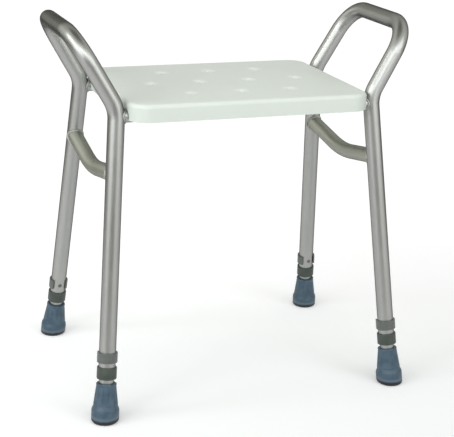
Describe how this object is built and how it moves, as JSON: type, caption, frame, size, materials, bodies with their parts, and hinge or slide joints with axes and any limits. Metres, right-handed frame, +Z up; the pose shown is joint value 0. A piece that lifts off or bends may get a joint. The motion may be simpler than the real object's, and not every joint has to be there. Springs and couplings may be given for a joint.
{
  "type": "shower stool",
  "caption": "Shower stool with a drained flat seat between bent-tube side frames with raised handles, on splayed telescopic legs with snap clips and rubber ferrules.",
  "frame": {"origin": "centre of the footprint, on the floor", "axes": "+Z up, +X along the seat's width to the right seen from the front, front towards -Y"},
  "size_m": [0.5558, 0.3892, 0.5802],
  "materials": {
    "anodised_tube": "satin anodised",
    "seat_plastic": "fine textured",
    "clip_plastic": "satin",
    "collar_plastic": "satin",
    "grey_rubber": "matt",
    "zinc_steel": "zinc plated"
  },
  "bodies": {
    "frame": {"side_frame_left": "anodised_tube", "side_brace_left": "anodised_tube", "side_frame_right": "anodised_tube", "side_brace_right": "anodised_tube", "seat_rail_front": "anodised_tube", "seat_rail_rear": "anodised_tube", "seat": "seat_plastic", "seat_screws": "zinc_steel", "leg_collar_front_left": "collar_plastic", "leg_collar_front_right": "collar_plastic", "leg_collar_rear_left": "collar_plastic", "leg_collar_rear_right": "collar_plastic"},
    "extension_front_left": {"leg_extension_front_left": "anodised_tube", "ferrule_front_left": "grey_rubber", "ferrule_washer_front_left": "zinc_steel"},
    "clip_front_left": {"height_clip_front_left": "clip_plastic"},
    "extension_front_right": {"leg_extension_front_right": "anodised_tube", "ferrule_front_right": "grey_rubber", "ferrule_washer_front_right": "zinc_steel"},
    "clip_front_right": {"height_clip_front_right": "clip_plastic"},
    "extension_rear_left": {"leg_extension_rear_left": "anodised_tube", "ferrule_rear_left": "grey_rubber", "ferrule_washer_rear_left": "zinc_steel"},
    "clip_rear_left": {"height_clip_rear_left": "clip_plastic"},
    "extension_rear_right": {"leg_extension_rear_right": "anodised_tube", "ferrule_rear_right": "grey_rubber", "ferrule_washer_rear_right": "zinc_steel"},
    "clip_rear_right": {"height_clip_rear_right": "clip_plastic"}
  },
  "joints": [
    {"name": "leg_front_left_extend", "type": "slide", "parent": "frame", "child": "extension_front_left", "axis": [-0.0738, -0.1455, -0.9866], "range_m": [0, 0.15]},
    {"name": "clip_front_left_pull", "type": "slide", "parent": "frame", "child": "clip_front_left", "axis": [0.0109, -0.9894, 0.1451], "range_m": [0, 0.03]},
    {"name": "leg_front_right_extend", "type": "slide", "parent": "frame", "child": "extension_front_right", "axis": [0.0738, -0.1455, -0.9866], "range_m": [0, 0.15]},
    {"name": "clip_front_right_pull", "type": "slide", "parent": "frame", "child": "clip_front_right", "axis": [-0.0109, -0.9894, 0.1451], "range_m": [0, 0.03]},
    {"name": "leg_rear_left_extend", "type": "slide", "parent": "frame", "child": "extension_rear_left", "axis": [-0.0738, 0.1455, -0.9866], "range_m": [0, 0.15]},
    {"name": "clip_rear_left_pull", "type": "slide", "parent": "frame", "child": "clip_rear_left", "axis": [0.0109, 0.9894, 0.1451], "range_m": [0, 0.03]},
    {"name": "leg_rear_right_extend", "type": "slide", "parent": "frame", "child": "extension_rear_right", "axis": [0.0738, 0.1455, -0.9866], "range_m": [0, 0.15]},
    {"name": "clip_rear_right_pull", "type": "slide", "parent": "frame", "child": "clip_rear_right", "axis": [-0.0109, 0.9894, 0.1451], "range_m": [0, 0.03]}
  ]
}
